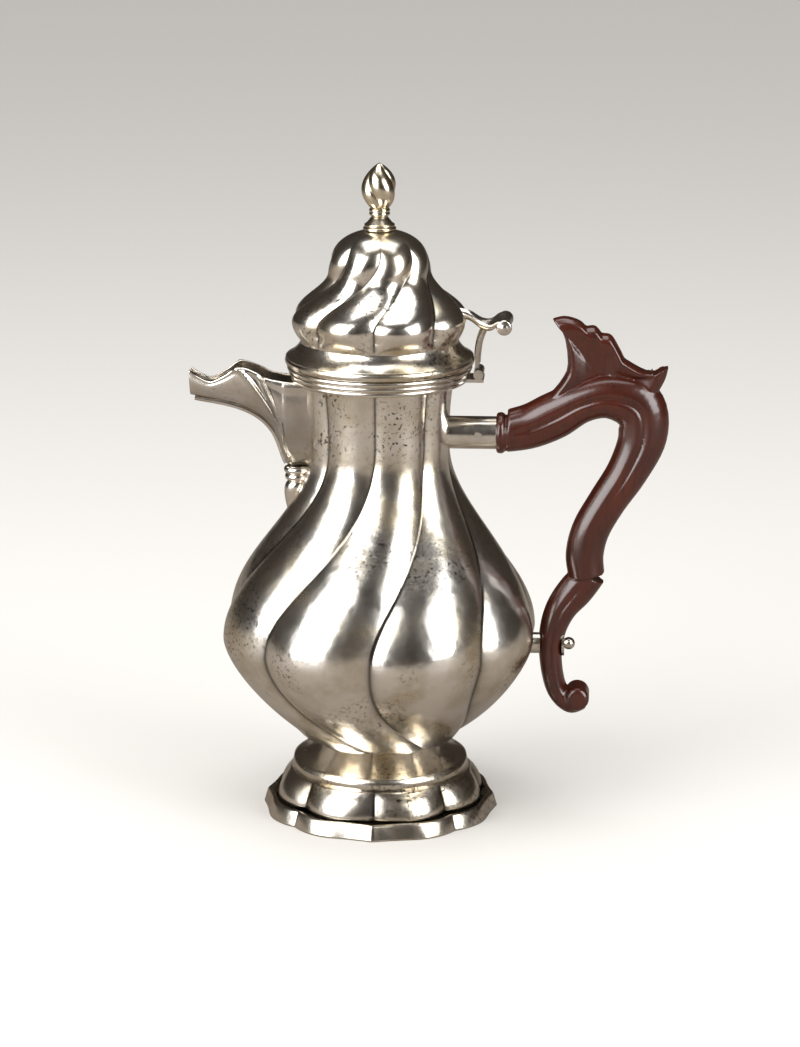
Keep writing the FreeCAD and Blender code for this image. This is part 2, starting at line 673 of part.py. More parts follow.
def oval_wire(x, z, direction, half_thickness, half_width):
    turn = math.radians(direction)
    across = Vector(-math.sin(turn), 0, math.cos(turn))
    points = []
    for step in range(8):
        angle = step * math.pi / 4
        grow = 1.06 if step % 2 else 1.0
        point = Vector(x, half_width * grow * math.sin(angle), z)
        points.append(point.add(across * (half_thickness * grow * math.cos(angle))))
    line = Part.BSplineCurve()
    line.interpolate(points, PeriodicFlag=True)
    return Part.Wire([line.toShape()])


def handle_grip():
    x = SOCKET_END_X + RING_LENGTH + 1.0
    z = SOCKET_Z
    half = HANDLE_WIDTH / 2
    sections = [
        (0.0, 0.9, 0, 8.2, 0.95), (8.5, 2.8, 17, 8.6, 1.0), (17.8, 7.1, 27, 9.0, 1.0),
        (28.0, 12.6, 22, 8.0, 1.0),
        (38.6, 14.8, -8, 8.7, 1.0), (49.2, 10.6, -45, 10.2, 1.0), (50.9, -0.9, -98, 9.3, 1.0),
        (45.1, -14.4, -122, 7.9, 0.95), (37.9, -25.9, -121, 7.2, 0.92), (31.9, -36.9, -113, 7.2, 0.92),
        (29.6, -46.7, -93, 7.2, 0.92), (30.4, -55.0, -82, 6.9, 0.9),
    ]
    wires = [oval_wire(x + dx, z + dz, turn, thick, half * wide) for dx, dz, turn, thick, wide in sections]
    return solid_loft(wires, False)


def handle_scroll():
    x = SEAT_X - 0.4 + SCROLL_THICKNESS / 2
    z = STUD_Z
    half = SCROLL_WIDTH / 2
    thick = SCROLL_THICKNESS / 2
    sections = [
        (14.4, 27.2, -112, 6.4), (9.4, 21.0, -128, 6.8), (4.2, 14.0, -119, 6.0), (1.2, 6.0, -100, 5.2),
        (0.2, -3.0, -90, thick + 0.3),
        (1.2, -12.6, -80, thick), (3.6, -19.4, -62, thick - 0.1), (8.2, -23.4, -18, thick),
        (12.0, -22.6, 40, thick - 0.6),
    ]
    wires = [oval_wire(x + dx, z + dz, turn, size, half) for dx, dz, turn, size in sections]
    scroll = solid_loft(wires, False)
    start = Vector(x + 10.6, -half - 1, z - 20.7)
    ball = Part.makeCylinder(BALL_RADIUS, SCROLL_WIDTH + 2, start, Vector(0, 1, 0))
    ball = ball.makeFillet(1.6, [edge for edge in ball.Edges if edge.Closed])
    return scroll.fuse(ball)


def crest_wire(y, inset):
    x = SOCKET_END_X + RING_LENGTH + 1.0
    z = SOCKET_Z
    centre = Vector(x + 36.0, 0, z + 20.0)
    runs = [
        [(14.0, 13.0), (20.0, 20.6), (22.3, 27.0), (20.6, 38.6), (16.2, 44.1)],
        [(16.2, 44.1), (21.0, 45.1), (26.3, 43.6), (28.9, 41.4)],
        [(28.9, 41.4), (32.3, 41.4), (34.9, 38.8)],
        [(34.9, 38.8), (38.4, 38.0), (41.3, 33.5), (43.6, 29.0)],
        [(43.6, 29.0), (50.0, 25.3), (55.7, 23.8), (60.4, 26.6)],
        [(60.4, 26.6), (58.6, 21.0), (54.0, 14.0), (46.0, 9.0)],
        [(46.0, 9.0), (30.0, 8.0), (14.0, 13.0)],
    ]
    edges = []
    for run in runs:
        points = []
        for dx, dz in run:
            point = Vector(x + dx, 0, z + dz)
            moved = point.add(centre.sub(point) * inset)
            points.append(Vector(moved.x, y, moved.z))
        edges.append(curve(points))
    return Part.Wire(edges)


def handle_crest():
    half = CREST_WIDTH / 2
    levels = [(-half, 0.14), (-half * 0.5, 0.0), (half * 0.5, 0.0), (half, 0.14)]
    return solid_loft([crest_wire(y, inset) for y, inset in levels], True)


def stud_cylinder(radius, start, end):
    return Part.makeCylinder(radius, end - start, Vector(start, 0, STUD_Z), Vector(1, 0, 0))


def washer_x():
    return SEAT_X + SCROLL_THICKNESS


def handle_wood():
    tenon_radius = SOCKET_RADIUS - SHEET - TENON_CLEARANCE
    start = Vector(SOCKET_END_X - TENON_LENGTH, 0, SOCKET_Z)
    tenon = Part.makeCylinder(tenon_radius, TENON_LENGTH + 1, start, Vector(1, 0, 0))
    collar = Part.makeCylinder(RING_RADIUS, RING_LENGTH, Vector(SOCKET_END_X, 0, SOCKET_Z), Vector(1, 0, 0))
    collar = collar.makeFillet(1.2, [edge for edge in collar.Edges if edge.Closed])
    start = Vector(SOCKET_END_X + RING_LENGTH - 0.7, 0, SOCKET_Z)
    groove = Part.makeCylinder(RING_RADIUS - 1.0, 2.5, start, Vector(1, 0, 0))
    wood = handle_grip().fuse([handle_scroll(), handle_crest(), tenon, collar, groove])
    wood = wood.cut(stud_cylinder(STUD_RADIUS + STUD_CLEARANCE, SEAT_X - 8, SEAT_X + 25))
    wood = wood.cut(stud_cylinder(SEAT_RADIUS + 0.5, SEAT_X - 10, SEAT_X))
    wood = wood.cut(stud_cylinder(WASHER_RADIUS + 0.3, washer_x(), washer_x() + 6))
    return wood.cut(along_y(RIVET_RADIUS, 4 * SOCKET_RADIUS, SOCKET_END_X - 6.6, SOCKET_Z, 0))


def handle_seat(outside):
    pad = stud_cylinder(SEAT_RADIUS, BELLY_RADIUS * 0.85, SEAT_X)
    return pad.cut(outside).cut(stud_cylinder(STUD_RADIUS, BELLY_RADIUS * 0.8, SEAT_X + 5))


def handle_stud(outside):
    end = washer_x() + WASHER_THICKNESS + NUT_RADIUS
    return stud_cylinder(STUD_RADIUS, BELLY_RADIUS * 0.85, end).cut(outside)


def handle_washer():
    disc = stud_cylinder(WASHER_RADIUS, washer_x(), washer_x() + WASHER_THICKNESS)
    return disc.cut(stud_cylinder(STUD_RADIUS + STUD_CLEARANCE, washer_x() - 1, washer_x() + 3))


def handle_nut():
    start = washer_x() + WASHER_THICKNESS
    ball = Part.makeSphere(NUT_RADIUS, Vector(start + NUT_RADIUS * 0.7, 0, STUD_Z))
    ball = ball.cut(stud_cylinder(3 * NUT_RADIUS, start - 10, start))
    return ball.cut(stud_cylinder(STUD_RADIUS, start - 1, start + NUT_RADIUS))


# Pieces

vessel = vessel_loft(0, 0)
lid_outside = lid_loft(0)
moulding = mouth_moulding()
spout = spout_shell(vessel)
socket = handle_socket(vessel)
arm = thumbpiece(lid_outside)

pieces = {
    "body_shell": body_shell(vessel),
    "mouth_moulding": moulding,
    "foot_dome": foot_dome(),
    "foot_apron": foot_apron(),
    "foot_plinth": foot_plinth(),
    "spout_shell": spout,
    "spout_rib": spout_rib(spout_loft(0, False)),
    "spout_collar": spout_collar(vessel),
    "spout_drop": spout_drop(vessel),
    "hinge_bracket": hinge_bracket(moulding),
    "hinge_pin": hinge_pin(),
    "handle_socket": socket,
    "socket_rivet": socket_rivet(socket),
    "handle_wood": handle_wood(),
    "handle_seat": handle_seat(vessel),
    "handle_stud": handle_stud(vessel),
    "handle_washer": handle_washer(),
    "handle_nut": handle_nut(),
    "lid_dome": lid_dome(lid_outside),
    "lid_flange": lid_flange(),
    "lid_cap": lid_cap(),
    "lid_rim_wire": lid_rim_wire(),
    "lid_bezel": lid_bezel(),
    "lid_strut": lid_strut(arm),
    "thumbpiece": arm,
    "finial_base": finial_base(),
    "finial_stem": finial_stem(),
    "finial_bud": finial_bud(),
    "finial_bolt": finial_bolt(),
    "finial_nut": finial_nut(),
}

os.makedirs("parts", exist_ok=True)
for name, shape in pieces.items():
    print(name, shape.isValid(), len(shape.Solids), round(shape.Volume, 1))
    shape.exportStep("parts/" + name + ".step")
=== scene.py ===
import math

import bmesh
import bpy
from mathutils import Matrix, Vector


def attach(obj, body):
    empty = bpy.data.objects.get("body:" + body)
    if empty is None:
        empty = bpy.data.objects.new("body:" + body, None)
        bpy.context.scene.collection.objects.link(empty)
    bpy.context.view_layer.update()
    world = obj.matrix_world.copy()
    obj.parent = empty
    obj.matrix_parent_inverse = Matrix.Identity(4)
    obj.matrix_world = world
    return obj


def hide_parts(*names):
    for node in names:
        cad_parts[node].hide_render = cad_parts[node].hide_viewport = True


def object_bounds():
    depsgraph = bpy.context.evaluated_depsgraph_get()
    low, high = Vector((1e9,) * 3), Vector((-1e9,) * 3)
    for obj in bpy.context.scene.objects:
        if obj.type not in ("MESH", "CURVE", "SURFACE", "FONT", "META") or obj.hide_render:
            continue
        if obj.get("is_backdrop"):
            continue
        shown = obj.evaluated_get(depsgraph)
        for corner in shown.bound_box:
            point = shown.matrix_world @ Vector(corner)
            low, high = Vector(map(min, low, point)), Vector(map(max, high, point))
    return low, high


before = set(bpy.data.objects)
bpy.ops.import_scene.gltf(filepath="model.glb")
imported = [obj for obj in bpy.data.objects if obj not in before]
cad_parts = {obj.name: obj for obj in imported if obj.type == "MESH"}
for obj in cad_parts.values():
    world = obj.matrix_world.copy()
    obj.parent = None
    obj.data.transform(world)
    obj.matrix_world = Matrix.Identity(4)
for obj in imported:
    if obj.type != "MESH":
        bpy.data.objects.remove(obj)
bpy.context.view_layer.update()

# Body shell: the raised pear-shaped vessel with eight swirled lobes
# Aged polished silver sheet with dark pitting, and painted brown shade along the grooves
# One outline is spun into an inner and outer skin, then each point is drawn in towards the grooves
MM = 0.001
SHEET = 1.2
LOBES = 8
BASE_Z = 29.0
BASE_RADIUS = 29.0
BELLY_Z = 70.0
BELLY_RADIUS = 61.15
NECK_Z = 142.0
NECK_RADIUS = 27.0
MOUTH_Z = 174.3
MOUTH_RADIUS = 29.0
MOULDING_Z = 168.3
SWIRL_TOP_Z = 148.0
SWIRL_ANGLE = 45.0
FOOT_SWIRL_ANGLE = 40.0
VESSEL_RELIEF = 0.07
LIP_Z = 170.0
INNER_TOP_Z = 168.0


def linear(hex_colour):
    channels = []
    for start in (0, 2, 4):
        value = int(hex_colour[start:start + 2], 16) / 255
        channels.append(value / 12.92 if value <= 0.04045 else ((value + 0.055) / 1.055) ** 2.4)
    return (*channels, 1.0)


def add_node(tree, kind, settings=None, inputs=None):
    node = tree.nodes.new(kind)
    for name, value in (settings or {}).items():
        setattr(node, name, value)
    for name, value in (inputs or {}).items():
        if hasattr(value, "is_output"):
            tree.links.new(value, node.inputs[name])
        else:
            node.inputs[name].default_value = value
    return node


def silver(name, bright, shade, roughness, pit_share, shade_strength):
    material = bpy.data.materials.new(name)
    material.use_nodes = True
    tree = material.node_tree
    tree.nodes.clear()
    place = add_node(tree, "ShaderNodeTexCoord").outputs["Object"]
    # Cloudy tarnish in patches about 18 mm across
    cloud = add_node(tree, "ShaderNodeTexNoise", None,
                     {"Vector": place, "Scale": 1 / (18 * MM), "Detail": 5.0, "Roughness": 0.6})
    patch = add_node(tree, "ShaderNodeMapRange", None,
                     {"Value": cloud.outputs["Fac"], "From Min": 0.42, "From Max": 0.72})
    # Dark pits under a millimetre wide, gathered in patches about 30 mm across
    speck = add_node(tree, "ShaderNodeTexNoise", None,
                     {"Vector": place, "Scale": 1 / (1.1 * MM), "Detail": 2.0})
    field = add_node(tree, "ShaderNodeTexNoise", None,
                     {"Vector": place, "Scale": 1 / (31 * MM), "Detail": 3.0})
    pits = add_node(tree, "ShaderNodeMapRange", None,
                    {"Value": speck.outputs["Fac"], "From Min": 0.58, "From Max": 0.65})
    where = add_node(tree, "ShaderNodeMapRange", None,
                     {"Value": field.outputs["Fac"], "From Min": 0.47, "From Max": 0.62,
                      "To Max": pit_share})
    pitted = add_node(tree, "ShaderNodeMath", {"operation": "MULTIPLY"},
                      {0: pits.outputs["Result"], 1: where.outputs["Result"]})
    # Painted shade, dark brown, in grooves, recesses and undersides, from the painted shade amount stored
    # on the mesh
    painted_shade = add_node(tree, "ShaderNodeAttribute", {"attribute_name": "painted_shade"})
    painted_shade_amount = add_node(tree, "ShaderNodeMath", {"operation": "MULTIPLY"}, {0: painted_shade.outputs["Fac"], 1: shade_strength})
    tinted = add_node(tree, "ShaderNodeMix", {"data_type": "RGBA"},
                      {"Factor": patch.outputs["Result"], 6: linear(bright), 7: linear(shade)})
    with_painted_shade = add_node(tree, "ShaderNodeMix", {"data_type": "RGBA"},
                     {"Factor": painted_shade_amount.outputs[0], 6: tinted.outputs[2], 7: linear("33281d")})
    final = add_node(tree, "ShaderNodeMix", {"data_type": "RGBA"},
                     {"Factor": pitted.outputs[0], 6: with_painted_shade.outputs[2], 7: linear("1c1612")})
    rough = add_node(tree, "ShaderNodeMapRange", None,
                     {"Value": cloud.outputs["Fac"], "From Min": 0.3, "From Max": 0.75,
                      "To Min": roughness, "To Max": roughness + 0.14})
    # Faint hammer marks about 4 mm across and fine wear
    hammer = add_node(tree, "ShaderNodeTexVoronoi", {"feature": "SMOOTH_F1"},
                      {"Vector": place, "Scale": 1 / (4.2 * MM)})
    fine = add_node(tree, "ShaderNodeTexNoise", None,
                    {"Vector": place, "Scale": 1 / (2.4 * MM), "Detail": 3.0})
    dents = add_node(tree, "ShaderNodeBump", None,
                     {"Strength": 0.22, "Distance": 0.0005, "Height": hammer.outputs["Distance"]})
    relief = add_node(tree, "ShaderNodeBump", None,
                      {"Strength": 0.12, "Distance": 0.0002, "Height": fine.outputs["Fac"],
                       "Normal": dents.outputs["Normal"]})
    surface = add_node(tree, "ShaderNodeBsdfPrincipled", None,
                       {"Base Color": final.outputs[2], "Metallic": 1.0,
                        "Roughness": rough.outputs["Result"], "Normal": relief.outputs["Normal"]})
    add_node(tree, "ShaderNodeOutputMaterial", None, {"Surface": surface.outputs["BSDF"]})
    return material


def turned(bm, points, steps, closed):
    verts = [bm.verts.new((radius * MM, 0, z * MM)) for radius, z in points]
    edges = [bm.edges.new(pair) for pair in zip(verts, verts[1:])]
    if closed:
        edges.append(bm.edges.new((verts[-1], verts[0])))
    bmesh.ops.spin(bm, geom=verts + edges, cent=(0, 0, 0), axis=(0, 0, 1), steps=steps,
                   angle=math.tau, use_merge=True, use_duplicate=False)
    bmesh.ops.remove_doubles(bm, verts=bm.verts, dist=0.000002)


def arc_points(start, middle, end, count):
    ax, ay = start
    bx, by = middle
    cx, cy = end
    area = 2 * (ax * (by - cy) + bx * (cy - ay) + cx * (ay - by))
    sa, sb, sc = ax * ax + ay * ay, bx * bx + by * by, cx * cx + cy * cy
    ux = (sa * (by - cy) + sb * (cy - ay) + sc * (ay - by)) / area
    uy = (sa * (cx - bx) + sb * (ax - cx) + sc * (bx - ax)) / area
    first = math.atan2(ay - uy, ax - ux)
    halfway = (math.atan2(by - uy, bx - ux) - first) % math.tau
    sweep = (math.atan2(cy - uy, cx - ux) - first) % math.tau
    if halfway > sweep:
        sweep -= math.tau
    radius = math.hypot(ax - ux, ay - uy)
    turns = [first + sweep * i / count for i in range(count + 1)]
    return [(ux + radius * math.cos(turn), uy + radius * math.sin(turn)) for turn in turns]


def swirl(bm, count, depth_at, turn_at):
    layer = bm.verts.layers.float.new("painted_shade")
    for vert in bm.verts:
        radius = math.hypot(vert.co.x, vert.co.y) / MM
        z = vert.co.z / MM
        angle = math.atan2(vert.co.y, vert.co.x)
        across = ((angle * count / math.tau) % 1.0) * 2 - 1
        depth = depth_at(radius, z)
        drawn = max(0.0, radius - depth * across * across) * MM
        turned_to = angle + math.radians(turn_at(z))
        vert.co.x = drawn * math.cos(turned_to)
        vert.co.y = drawn * math.sin(turned_to)
        # Painted shade along each groove crease, stored per vertex and darkened in the material
        vert[layer] = abs(across) ** 18 * min(1.0, depth)


def add_piece(name, bm, body, material, nodes):
    bmesh.ops.recalc_face_normals(bm, faces=bm.faces)
    mesh = bpy.data.meshes.new(name)
    bm.to_mesh(mesh)
    bm.free()
    mesh.shade_smooth()
    piece = bpy.data.objects.new(name, mesh)
    bpy.context.scene.collection.objects.link(piece)
    piece.data.materials.append(material)
    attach(piece, body)
    if nodes:
        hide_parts(*nodes)
    return piece


def body_radius(z):
    if z <= BELLY_Z:
        return BELLY_RADIUS - (BELLY_RADIUS - BASE_RADIUS) * ((BELLY_Z - z) / (BELLY_Z - BASE_Z)) ** 1.5
    if z <= NECK_Z:
        rise = (z - BELLY_Z) / (NECK_Z - BELLY_Z)
        return NECK_RADIUS + (BELLY_RADIUS - NECK_RADIUS) * (1 + math.cos(math.pi * rise)) / 2
    return NECK_RADIUS + (MOUTH_RADIUS - NECK_RADIUS) * min(1.0, (z - NECK_Z) / (MOULDING_Z - NECK_Z)) ** 3


def body_turn(z):
    if z >= SWIRL_TOP_Z:
        return 0.0
    if z >= BELLY_Z:
        return -SWIRL_ANGLE / 2 * (1 - math.cos(math.pi * (SWIRL_TOP_Z - z) / (SWIRL_TOP_Z - BELLY_Z)))
    return FOOT_SWIRL_ANGLE * ((BELLY_Z - z) / (BELLY_Z - BASE_Z)) ** 3 - SWIRL_ANGLE


def body_depth(radius, z):
    fade = min(1.0, max(0.0, (MOULDING_Z + 1.2 - z) / 2.5))
    return VESSEL_RELIEF * min(radius, body_radius(z)) * fade


def body_wall(z):
    slope = (body_radius(z + 0.1) - body_radius(z - 0.1)) / 0.2 if z > BASE_Z + 2 else 1.4
    return body_radius(z) - SHEET * math.sqrt(1 + slope * slope)


body_silver = silver("polished aged silver of the body", "f4f0e8", "c9bb9f", 0.17, 0.9, 0.85)
bm = bmesh.new()
outer_z = [BASE_Z + (MOULDING_Z - BASE_Z) * i / 110 for i in range(111)]
inner_z = [INNER_TOP_Z - (INNER_TOP_Z - BASE_Z - 2 * SHEET) * i / 60 for i in range(61)]
outer = [(0, BASE_Z)] + [(body_radius(z), z) for z in outer_z]
lip = [(MOUTH_RADIUS, LIP_Z), (MOUTH_RADIUS, MOUTH_Z)]
lip += [(MOUTH_RADIUS - SHEET, MOUTH_Z), (MOUTH_RADIUS - SHEET, LIP_Z)]
inner = [(body_wall(z), z) for z in inner_z] + [(0, BASE_Z + 2 * SHEET)]
turned(bm, outer + lip + inner, 320, False)
swirl(bm, LOBES, body_depth, body_turn)
add_piece("body", bm, "pot", body_silver, ["body_shell"])

# Mouth moulding: three soldered reeds round the mouth
# The same silver, kept brighter because hands polish it
# Three half rounds and the flat faces are spun round the axis
REED_ROOT = 33.8
REED_STEP = 0.7
REED_HEIGHT = 2.0
moulding_silver = silver("polished reeded silver", "f0ece5", "cfc5b4", 0.15, 0.4, 0.5)
bm = bmesh.new()
ring_points = [(MOUTH_RADIUS + 0.02, MOUTH_Z)]
for index in range(3):
    root = REED_ROOT - index * REED_STEP
    high = MOUTH_Z - index * REED_HEIGHT
    crest = (root + REED_HEIGHT / 2, high - REED_HEIGHT / 2)
    ring_points += arc_points((root, high), crest, (root, high - REED_HEIGHT), 10)
ring_points.append((MOUTH_RADIUS + 0.02, MOULDING_Z))
turned(bm, ring_points, 192, True)
add_piece("moulding", bm, "pot", moulding_silver, ["mouth_moulding"])

# Foot: a smooth hollow dome with a plain band, a lobed apron and the shaped plinth it stands on
# Silver, darker and more pitted than the body
# Spun outlines, with the apron and the plinth drawn to the bracket plan
FOOT_NECK_RADIUS = 20.5
BAND_Z = 16.0
BAND_RADIUS = 34.2
APRON_SPREAD = 5.4
PLINTH_HEIGHT = 6.0
PLINTH_RADIUS = 45.2
foot_silver = silver("aged silver of the foot", "efe9de", "bbab8d", 0.17, 1.0, 0.9)
bm = bmesh.new()
foot_outer = [(BAND_RADIUS, BAND_Z)]
foot_outer += arc_points((33.2, 20.4), (24.7, 24.7), (FOOT_NECK_RADIUS, BASE_Z), 14)
foot_inner = arc_points((FOOT_NECK_RADIUS - 2 * SHEET, BASE_Z), (23.5, 23.5), (32.0, 19.2), 14)
foot_inner.append((BAND_RADIUS - SHEET, BAND_Z))
turned(bm, foot_outer + foot_inner, 192, True)
add_piece("foot_dome_skin", bm, "pot", foot_silver, ["foot_dome"])


def bracket(angle):
    turn = abs(((math.degrees(angle) + 45) % 90) - 45)
    if turn < 12:
        return 43.8 + 1.4 * (1 - turn / 12) ** 2
    if turn < 28:
        return 43.8 + 1.2 * (1 - math.cos(math.pi * (turn - 12) / 16)) / 2
    return 45.0 - 2.0 * ((turn - 28) / 17) ** 2


bm = bmesh.new()
apron_height = BAND_Z - PLINTH_HEIGHT
apron_shares = [i / 14 for i in range(15)]
apron_outer = [(BAND_RADIUS + APRON_SPREAD * (1 - share ** 2), PLINTH_HEIGHT + apron_height * share)
               for share in apron_shares]
apron_inner = [(radius - SHEET, z) for radius, z in reversed(apron_outer)]
turned(bm, apron_outer + apron_inner, 360, True)
painted_shade_layer = bm.verts.layers.float.new("painted_shade")
for vert in bm.verts:
    angle = math.atan2(vert.co.y, vert.co.x)
    turn = abs(((math.degrees(angle) + 45) % 90) - 45)
    across = turn / 22.5 - 1
    rise = vert.co.z / MM - PLINTH_HEIGHT
    fade = 1 - max(0.0, rise / apron_height) ** 4
    deep = 2.8 if across > 0 else 2.1
    change = (0.6 - deep * across * across) * fade * MM
    radius = math.hypot(vert.co.x, vert.co.y) + change
    vert.co.x = radius * math.cos(angle)
    vert.co.y = radius * math.sin(angle)
    # Painted shade in the apron's grooves and along its lower edge above the plinth
    vert[painted_shade_layer] = min(1.0, abs(across) ** 8 + max(0.0, 0.6 - rise / 2.2))
add_piece("foot_apron_skin", bm, "pot", foot_silver, ["foot_apron"])

bm = bmesh.new()
plinth = [(PLINTH_RADIUS, 0.0), (45.1, 0.6), (44.5, 2.6), (43.9, 4.8), (43.5, 5.6), (42.9, PLINTH_HEIGHT),
          (42.3, 5.8), (41.6, 5.4), (40.4, 5.3), (36.0, 5.6), (36.0, 4.6), (41.0, 4.4), (41.0, 0.0)]
turned(bm, plinth, 360, True)
painted_shade_layer = bm.verts.layers.float.new("painted_shade")
for vert in bm.verts:
    angle = math.atan2(vert.co.y, vert.co.x)
    radius = math.hypot(vert.co.x, vert.co.y) / MM
    # Painted shade on the plinth's inner ledge under the apron
    vert[painted_shade_layer] = 0.5 if vert.co.z / MM > 5.2 and radius < 42.0 else 0.0
    if radius > 40.8:
        radius += bracket(angle) - PLINTH_RADIUS
    vert.co.x = radius * MM * math.cos(angle)
    vert.co.y = radius * MM * math.sin(angle)
add_piece("foot_plinth_skin", bm, "pot", foot_silver, ["foot_plinth"])

# Spout: the open-topped beak with its ridged sides
# Silver like the body, with painted shade darkening it towards the underside
# A double-walled U section is extruded station by station from the neck to the tip
SPOUT_WALL = 1.1
spout_silver = silver("polished silver of the spout", "efebe4", "c8bdab", 0.16, 0.5, 0.7)
spout_keys = [(-24.0, 134.4, 168.2, 9.0), (-34.2, 134.4, 168.2, 8.7), (-36.4, 138.4, 168.4, 8.4),
              (-39.1, 145.9, 168.8, 8.2), (-42.2, 150.8, 169.6, 7.9), (-46.7, 154.4, 171.9, 7.5),
              (-53.0, 157.5, 173.6, 6.7), (-58.4, 159.0, 170.1, 5.9), (-63.7, 160.0, 167.6, 5.0),
              (-68.2, 160.7, 169.1, 4.2), (-71.7, 161.4, 171.5, 3.6)]


def smooth_between(keys, share):
    place = share * (len(keys) - 1)
    index = min(int(place), len(keys) - 2)
    t = place - index
    before = keys[max(0, index - 1)]
    here, after = keys[index], keys[index + 1]
    beyond = keys[min(len(keys) - 1, index + 2)]
    values = []
    for a, b, c, d in zip(before, here, after, beyond):
        bend = (2 * a - 5 * b + 4 * c - d) * t * t + (3 * b - a - 3 * c + d) * t ** 3
        values.append(0.5 * (2 * b + (c - a) * t + bend))
    return values


def spout_ring(x, low, high, half):
    ring = []
    steps = 40
    for side, wall in ((1, 0.0), (-1, 0.0), (-1, SPOUT_WALL), (1, SPOUT_WALL)):
        span = []
        for i in range(steps + 1):
            share = i / steps
            barrel = 0.88 + 0.12 * math.sin(math.pi * min(1.0, share / 0.7))
            width = (half - wall) * barrel * (1 - share ** 2.6) ** 0.62
            ridge = 0.0
            if wall == 0.0:
                for start, reach, tall in ((-54.0, 22.0, 2.0), (-45.0, 12.0, 1.5)):
                    centre = (x - start) / reach
                    ridge += tall * math.exp(-((share - centre) / 0.06) ** 2) if 0 < centre < 1 else 0.0
                ridge += 0.7 * math.exp(-((share - 0.05) / 0.05) ** 2)
            floor = low + wall * 1.4
            z = high - (high - floor) * share
            seated = min(x, 0.3 - 0.93 * body_radius(z))
            span.append((seated * MM, side * (width + ridge) * MM, z * MM))
        if (side, wall) in ((-1, 0.0), (1, SPOUT_WALL)):
            span.reverse()
        ring += span
    return ring


def extruded_rings(bm, rings):
    verts = [bm.verts.new(point) for point in rings[0]]
    edges = [bm.edges.new((verts[i], verts[(i + 1) % len(verts)])) for i in range(len(verts))]
    for ring in rings[1:]:
        grown = bmesh.ops.extrude_edge_only(bm, edges=edges)["geom"]
        fresh = {item for item in grown if isinstance(item, bmesh.types.BMVert)}
        verts = [next(edge.other_vert(vert) for edge in vert.link_edges if edge.other_vert(vert) in fresh)
                 for vert in verts]
        for vert, point in zip(verts, ring):
            vert.co = point
        edges = [bm.edges.get((verts[i], verts[(i + 1) % len(verts)])) for i in range(len(verts))]
    bmesh.ops.holes_fill(bm, edges=[edge for edge in bm.edges if edge.is_boundary], sides=0)


bm = bmesh.new()
stations = [smooth_between(spout_keys, i / 60) for i in range(61)]
extruded_rings(bm, [spout_ring(*station) for station in stations])
bmesh.ops.remove_doubles(bm, verts=bm.verts, dist=0.00001)
painted_shade_layer = bm.verts.layers.float.new("painted_shade")
for vert in bm.verts:
    # Painted shade that deepens from the rim height down towards the underside
    below = (170.0 - vert.co.z / MM) / 30.0
    vert[painted_shade_layer] = min(0.55, max(0.0, below))
add_piece("spout", bm, "pot", spout_silver, ["spout_shell"])

# Lid: hollow flange, swirled dome and crown in one sheet, with its rim wire
# Polished silver, the most pitted part of the pot
# A closed outline is spun, then drawn in to the eight grooves
LID_Z = 174.6
WAIST_Z = 183.5
BULGE_Z = 191.5
CROWN_Z = 209.5
CAP_Z = 218.0
LID_TOP_Z = 225.008
WAIST_RADIUS = 29.5
BULGE_RADIUS = 33.7
CROWN_RADIUS = 19.4
CROWN_HEIGHT = 15.8
LID_RELIEF = 0.095
LID_SWIRL_ANGLE = 50.0
RIM_RADIUS = 35.6
RIM_HEIGHT = 3.0


def lid_radius(z):
    if z <= BULGE_Z:
        rise = math.sin(math.pi / 2 * (z - WAIST_Z) / (BULGE_Z - WAIST_Z))
        return WAIST_RADIUS + (BULGE_RADIUS - WAIST_RADIUS) * rise
    if z <= CROWN_Z:
        fall = (1 + math.cos(math.pi * (z - BULGE_Z) / (CROWN_Z - BULGE_Z))) / 2
        return CROWN_RADIUS + (BULGE_RADIUS - CROWN_RADIUS) * fall
    return CROWN_RADIUS * (1 - ((z - CROWN_Z) / CROWN_HEIGHT) ** 2.4) ** 0.47


def lid_turn(z):
    share = min(1.0, max(0.0, (z - BULGE_Z) / (CAP_Z - BULGE_Z)))
    return LID_SWIRL_ANGLE / 2 * (1 - math.cos(math.pi * share))


def lid_depth(radius, z):
    if z < WAIST_Z or z > LID_TOP_Z:
        return 0.0
    fade = min(1.0, (z - WAIST_Z) / 4.8)
    if z > CAP_Z - 4.0:
        fade = 0.5 + 0.5 * math.cos(math.pi * min(1.0, (z - CAP_Z + 4.0) / 10.6))
    return LID_RELIEF * radius * fade


lid_silver = silver("polished aged silver of the lid", "f2ede4", "c4b597", 0.16, 1.0, 0.85)
bm = bmesh.new()
dome_z = [WAIST_Z + (LID_TOP_Z - WAIST_Z) * i / 100 for i in range(101)]
lid_outline = arc_points((35.3, LID_Z + RIM_HEIGHT), (31.6, 180.3), (WAIST_RADIUS, WAIST_Z), 14)
lid_outline += [(lid_radius(z), z) for z in dome_z[1:]]
lid_outline += [(1.3, LID_TOP_Z), (1.3, LID_TOP_Z - 2 * SHEET)]
lid_outline += [(lid_radius(z + SHEET) - SHEET, z) for z in reversed(dome_z[:94:2])]
inner_waist = (WAIST_RADIUS - SHEET, WAIST_Z - 0.2)
lid_outline += arc_points(inner_waist, (30.4, 180.1), (33.6, LID_Z + RIM_HEIGHT), 10)
turned(bm, lid_outline, 320, True)
swirl(bm, LOBES, lid_depth, lid_turn)
add_piece("lid_skin", bm, "lid", lid_silver, ["lid_dome", "lid_flange", "lid_cap"])
bm = bmesh.new()
rim = arc_points((34.85, LID_Z), (RIM_RADIUS, LID_Z + RIM_HEIGHT / 2), (34.85, LID_Z + RIM_HEIGHT), 12)
turned(bm, [(33.6, LID_Z)] + rim + [(33.6, LID_Z + RIM_HEIGHT)], 192, True)
add_piece("lid_rim", bm, "lid", lid_silver, ["lid_rim_wire"])

